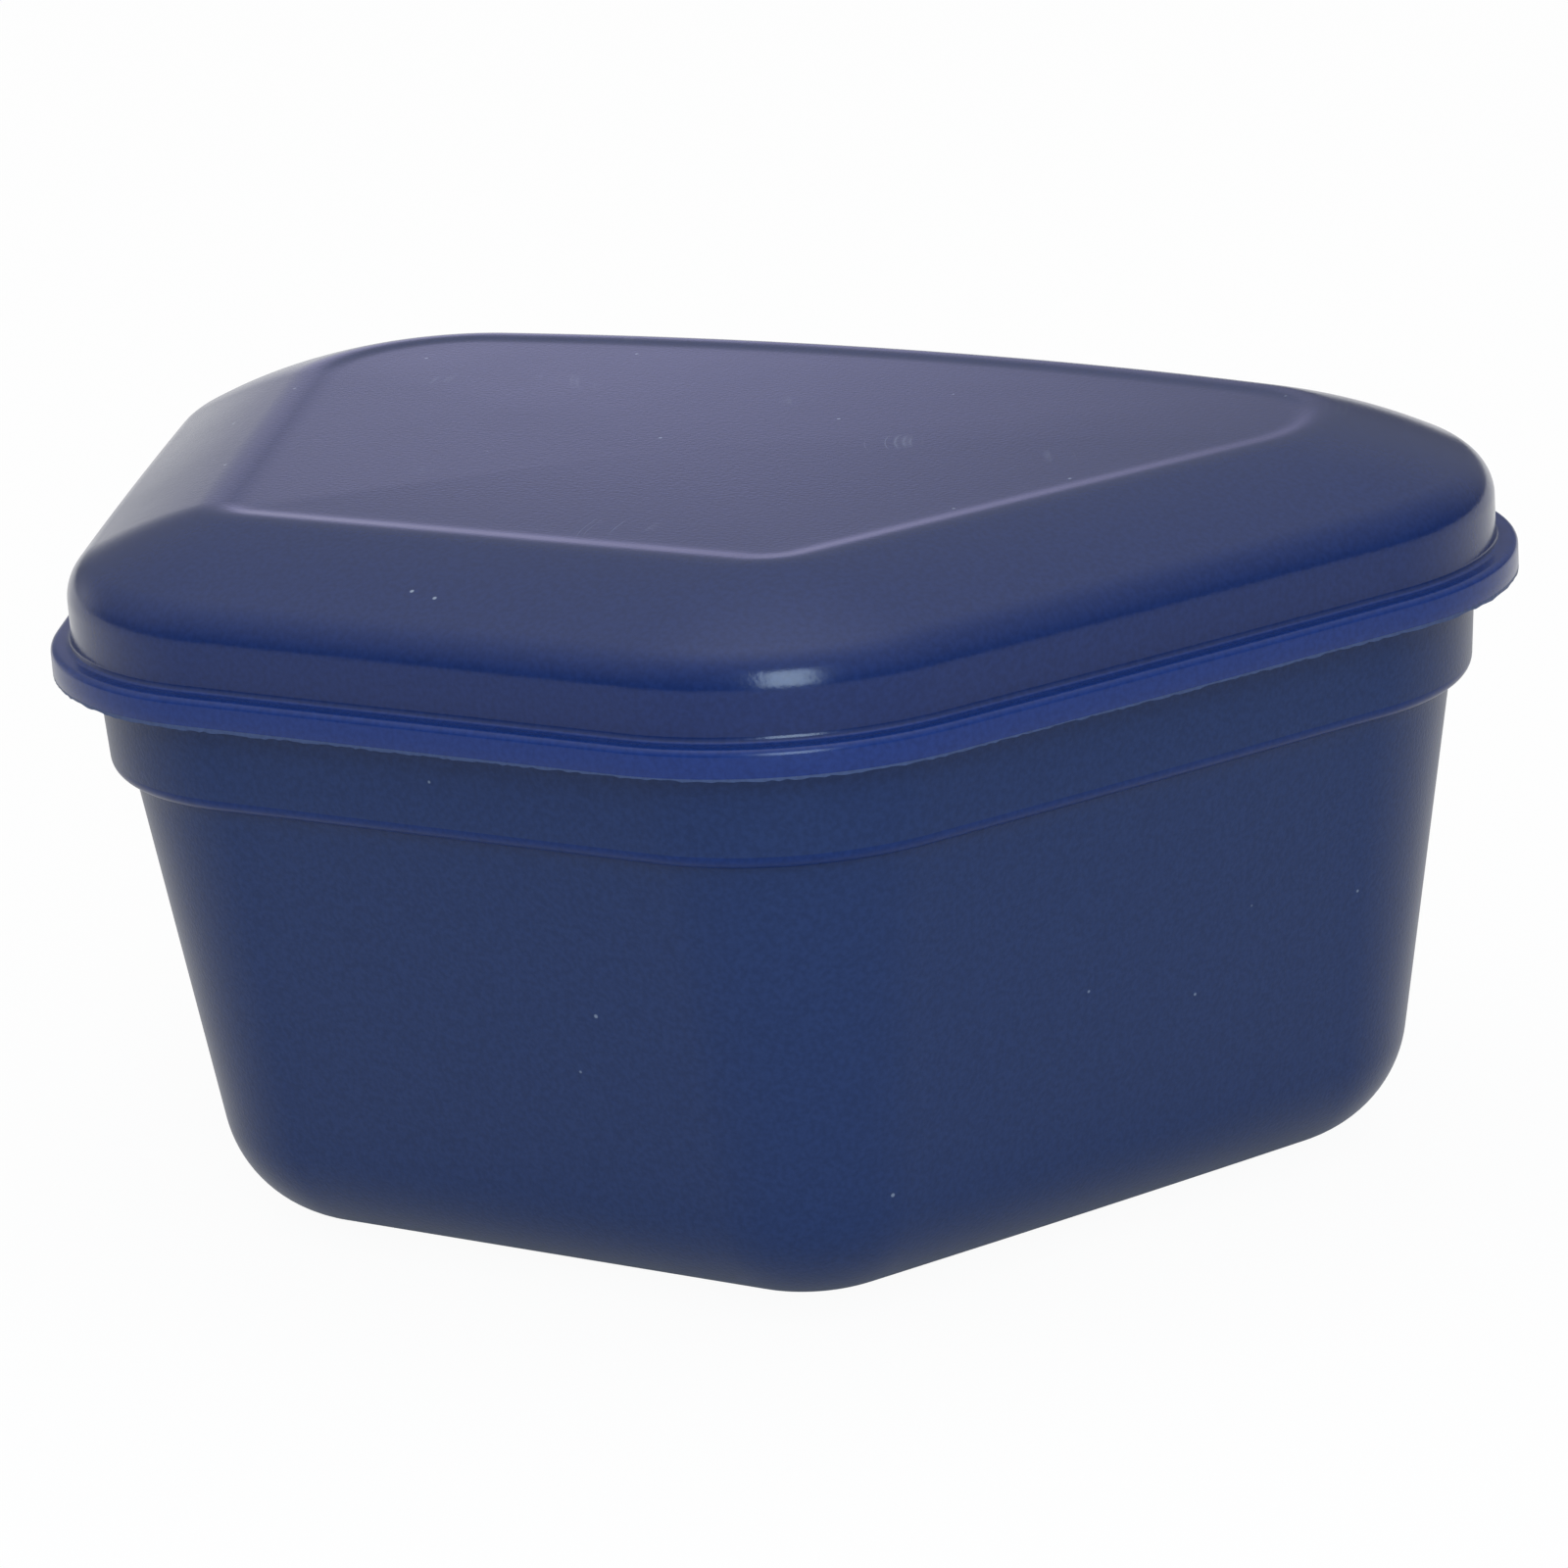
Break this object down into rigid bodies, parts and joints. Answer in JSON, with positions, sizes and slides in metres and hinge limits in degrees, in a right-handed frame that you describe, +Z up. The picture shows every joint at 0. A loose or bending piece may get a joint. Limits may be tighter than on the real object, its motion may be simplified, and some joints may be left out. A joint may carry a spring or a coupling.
{
  "type": "denture case",
  "caption": "Tapered tub with a loose domed lid and a slotted basket that hangs inside and lifts a denture out to drain.",
  "frame": {"origin": "centre of the case's footprint, on the surface that it stands on", "axes": "+X across the case, along its wide back; -Y towards its narrow front; +Z up"},
  "size_m": [0.1004, 0.0732, 0.049],
  "materials": {
    "base_plastic": "navy polypropylene with a fine moulded grain",
    "lid_plastic": "navy polypropylene, satin",
    "basket_plastic": "navy polypropylene, satin"
  },
  "bodies": {
    "base": {"base": "base_plastic"},
    "lid": {"lid": "lid_plastic"},
    "basket": {"strainer_basket": "basket_plastic"}
  },
  "joints": [
    {"name": "lid_lift", "type": "slide", "parent": "base", "child": "lid", "axis": [0, 0, 1], "range_m": [0, 0.1]},
    {"name": "basket_lift", "type": "slide", "parent": "base", "child": "basket", "axis": [0, 0, 1], "range_m": [0, 0.042]}
  ],
  "couplings": [
    {"joint": "basket_lift", "follows": "lid_lift", "ratio": 0.4}
  ]
}
